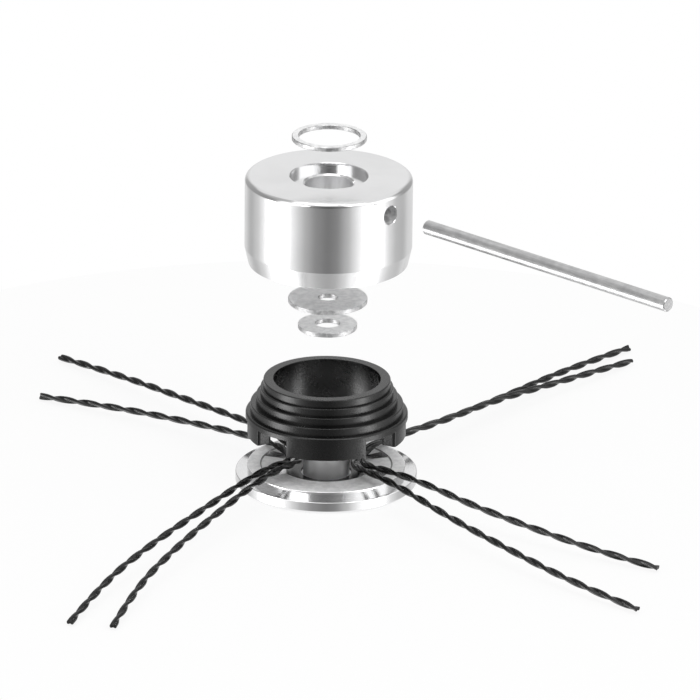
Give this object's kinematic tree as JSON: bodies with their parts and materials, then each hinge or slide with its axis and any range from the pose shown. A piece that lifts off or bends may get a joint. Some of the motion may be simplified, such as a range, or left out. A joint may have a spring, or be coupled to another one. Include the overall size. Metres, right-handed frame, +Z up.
{
  "type": "fixed line trimmer head",
  "caption": "Fixed line trimmer head shown taken apart: turned metal cup and flanged base, black guide ring, washers, spacer ring, locking rod and twisted cutting lines.",
  "frame": {"origin": "centre of the base's underside, on the head's axis", "axes": "+Z up along the head's axis, towards the gearbox; -Y faces the viewer; +X to the viewer's right"},
  "size_m": [0.2637, 0.3252, 0.1544],
  "materials": {
    "base_metal": "turned and polished",
    "cup_metal": "fine turned, satin",
    "guide_plastic": "moulded satin black",
    "zinc_steel": "zinc plated",
    "rod_steel": "drawn and zinc plated",
    "line_nylon": "glossy twisted nylon"
  },
  "bodies": {
    "base_and_lines": {"base": "base_metal", "line_left_outer": "line_nylon", "line_left_inner": "line_nylon", "line_right_outer": "line_nylon", "line_right_inner": "line_nylon"},
    "guide_ring": {"guide_ring": "guide_plastic"},
    "small_washer": {"small_washer": "zinc_steel"},
    "large_washer": {"large_washer": "zinc_steel"},
    "cup": {"cup": "cup_metal"},
    "spacer_ring": {"spacer_ring": "zinc_steel"},
    "locking_rod": {"locking_rod": "rod_steel"}
  },
  "joints": [
    {"name": "guide_ring_lift", "type": "slide", "parent": "base_and_lines", "child": "guide_ring", "axis": [0, 0, 1], "range_m": [-0.014, 0]},
    {"name": "small_washer_lift", "type": "slide", "parent": "guide_ring", "child": "small_washer", "axis": [0, 0, 1], "range_m": [-0.021, 0]},
    {"name": "large_washer_lift", "type": "slide", "parent": "small_washer", "child": "large_washer", "axis": [0, 0, 1], "range_m": [-0.0095, 0]},
    {"name": "cup_lift", "type": "slide", "parent": "large_washer", "child": "cup", "axis": [0, 0, 1], "range_m": [-0.0358, 0]},
    {"name": "spacer_ring_lift", "type": "slide", "parent": "cup", "child": "spacer_ring", "axis": [0, 0, 1], "range_m": [-0.0187, 0]},
    {"name": "locking_rod_slide", "type": "slide", "parent": "cup", "child": "locking_rod", "axis": [0.7373, -0.6756, 0], "range_m": [-0.042, 0]}
  ]
}
